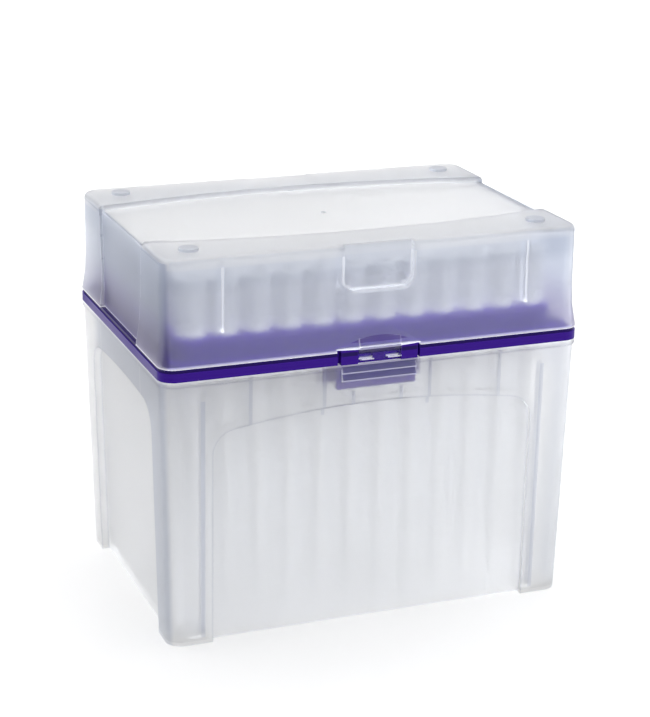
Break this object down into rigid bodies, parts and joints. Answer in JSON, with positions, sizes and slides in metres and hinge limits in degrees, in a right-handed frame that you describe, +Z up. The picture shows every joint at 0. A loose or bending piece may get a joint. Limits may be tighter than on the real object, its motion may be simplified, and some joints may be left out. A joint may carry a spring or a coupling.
{
  "type": "pipette tip box",
  "caption": "Hinged plastic box with a perforated rack tray that holds pipette tips upright under a frosted lid.",
  "frame": {"origin": "middle of the rim's outline, on the plane that the four feet stand on", "axes": "+X along the long side to the right, -Y to the front with the latch, +Z up"},
  "size_m": [0.122, 0.0903, 0.1102],
  "materials": {
    "frosted_shell": "frosted translucent polypropylene, fine satin texture",
    "coloured_tray": "solid purple polypropylene, satin",
    "tip_plastic": "clear natural polypropylene, smooth"
  },
  "bodies": {
    "box": {"base": "frosted_shell", "tray": "coloured_tray", "tips_column_01": "tip_plastic", "tips_column_02": "tip_plastic", "tips_column_03": "tip_plastic", "tips_column_04": "tip_plastic", "tips_column_05": "tip_plastic", "tips_column_06": "tip_plastic", "tips_column_07": "tip_plastic", "tips_column_08": "tip_plastic", "tips_column_09": "tip_plastic", "tips_column_10": "tip_plastic", "tips_column_11": "tip_plastic", "tips_column_12": "tip_plastic"},
    "lid": {"lid": "frosted_shell"}
  },
  "joints": [
    {"name": "lid_hinge", "type": "hinge", "parent": "box", "child": "lid", "pos_m": [0, 0.044, 0.079], "axis": [-1, 0, 0], "range_deg": [0, 110]}
  ]
}
